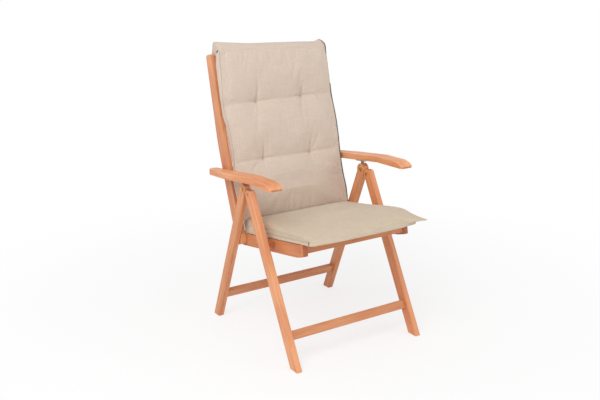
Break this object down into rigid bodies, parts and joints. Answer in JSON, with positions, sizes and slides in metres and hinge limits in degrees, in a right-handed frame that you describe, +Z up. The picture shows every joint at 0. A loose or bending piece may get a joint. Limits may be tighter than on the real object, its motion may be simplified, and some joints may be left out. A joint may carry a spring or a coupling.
{
  "type": "reclining garden armchair",
  "caption": "High-backed folding wooden garden armchair with a notched reclining back, slatted seat and back, and a quilted seat and back cushion.",
  "frame": {"origin": "centre of the bounding box's base, on the ground between the four feet, with the chair open and its back at the resting notch", "axes": "+Z up, the sitter faces -Y, +X towards the sitter's left"},
  "size_m": [0.636, 0.7414, 1.0977],
  "materials": {
    "hardwood": "oiled, satin",
    "cushion_fabric": "matt woven",
    "brass_fittings": "satin",
    "steel_fittings": "satin",
    "rack_metal": "matt"
  },
  "bodies": {
    "rear_legs": {"arm_pivot_bolts": "brass_fittings", "back_pivot_bolts": "brass_fittings", "leg_hinge_bolts": "brass_fittings", "rear_leg_left": "hardwood", "rear_leg_right": "hardwood", "rear_stretcher": "hardwood"},
    "front_legs": {"front_leg_left": "hardwood", "front_leg_right": "hardwood", "front_stretcher": "hardwood", "seat_rest_pin_left": "steel_fittings", "seat_rest_pin_right": "steel_fittings"},
    "seat": {"seat_cleat_left": "hardwood", "seat_cleat_right": "hardwood", "seat_cushion": "cushion_fabric", "seat_front_rail": "hardwood", "seat_hook_left": "hardwood", "seat_hook_right": "hardwood", "seat_rail_dowels": "hardwood", "seat_rail_left": "hardwood", "seat_rail_right": "hardwood", "seat_rear_rail": "hardwood", "seat_slat_1": "hardwood", "seat_slat_2": "hardwood", "seat_slat_3": "hardwood", "seat_slat_4": "hardwood", "seat_slat_5": "hardwood", "seat_slat_6": "hardwood"},
    "backrest": {"back_cushion": "cushion_fabric", "back_low_rail": "hardwood", "back_peg_left": "steel_fittings", "back_peg_right": "steel_fittings", "back_slat_1": "hardwood", "back_slat_2": "hardwood", "back_slat_3": "hardwood", "back_slat_4": "hardwood", "back_slat_5": "hardwood", "back_stile_left": "hardwood", "back_stile_right": "hardwood", "back_top_rail": "hardwood", "cushion_hood": "cushion_fabric"},
    "arm_left": {"arm_plate_left": "steel_fittings", "arm_plate_screws_left": "steel_fittings", "arm_rack_left": "rack_metal", "armrest_left": "hardwood"},
    "arm_right": {"arm_plate_right": "steel_fittings", "arm_plate_screws_right": "steel_fittings", "arm_rack_right": "rack_metal", "armrest_right": "hardwood"}
  },
  "joints": [
    {"name": "leg_fold", "type": "hinge", "parent": "rear_legs", "child": "front_legs", "pos_m": [0, 0.0166, 0.57902], "axis": [1, 0, 0], "range_deg": [0, 50]},
    {"name": "seat_tip", "type": "hinge", "parent": "rear_legs", "child": "seat", "pos_m": [0, 0.13796, 0.3645], "axis": [-1, 0, 0], "range_deg": [0, 7.5]},
    {"name": "recline", "type": "hinge", "parent": "rear_legs", "child": "backrest", "pos_m": [0, 0.13796, 0.3645], "axis": [-1, 0, 0], "range_deg": [-5, 15]},
    {"name": "arm_left_follow", "type": "hinge", "parent": "rear_legs", "child": "arm_left", "pos_m": [0, 0.05296, 0.59], "axis": [-1, 0, 0], "range_deg": [-1.8, 5.4]},
    {"name": "arm_right_follow", "type": "hinge", "parent": "rear_legs", "child": "arm_right", "pos_m": [0, 0.05296, 0.59], "axis": [-1, 0, 0], "range_deg": [-1.8, 5.4]}
  ],
  "couplings": [
    {"joint": "seat_tip", "follows": "leg_fold", "ratio": 0.15},
    {"joint": "arm_left_follow", "follows": "recline", "ratio": 0.36},
    {"joint": "arm_right_follow", "follows": "recline", "ratio": 0.36}
  ]
}
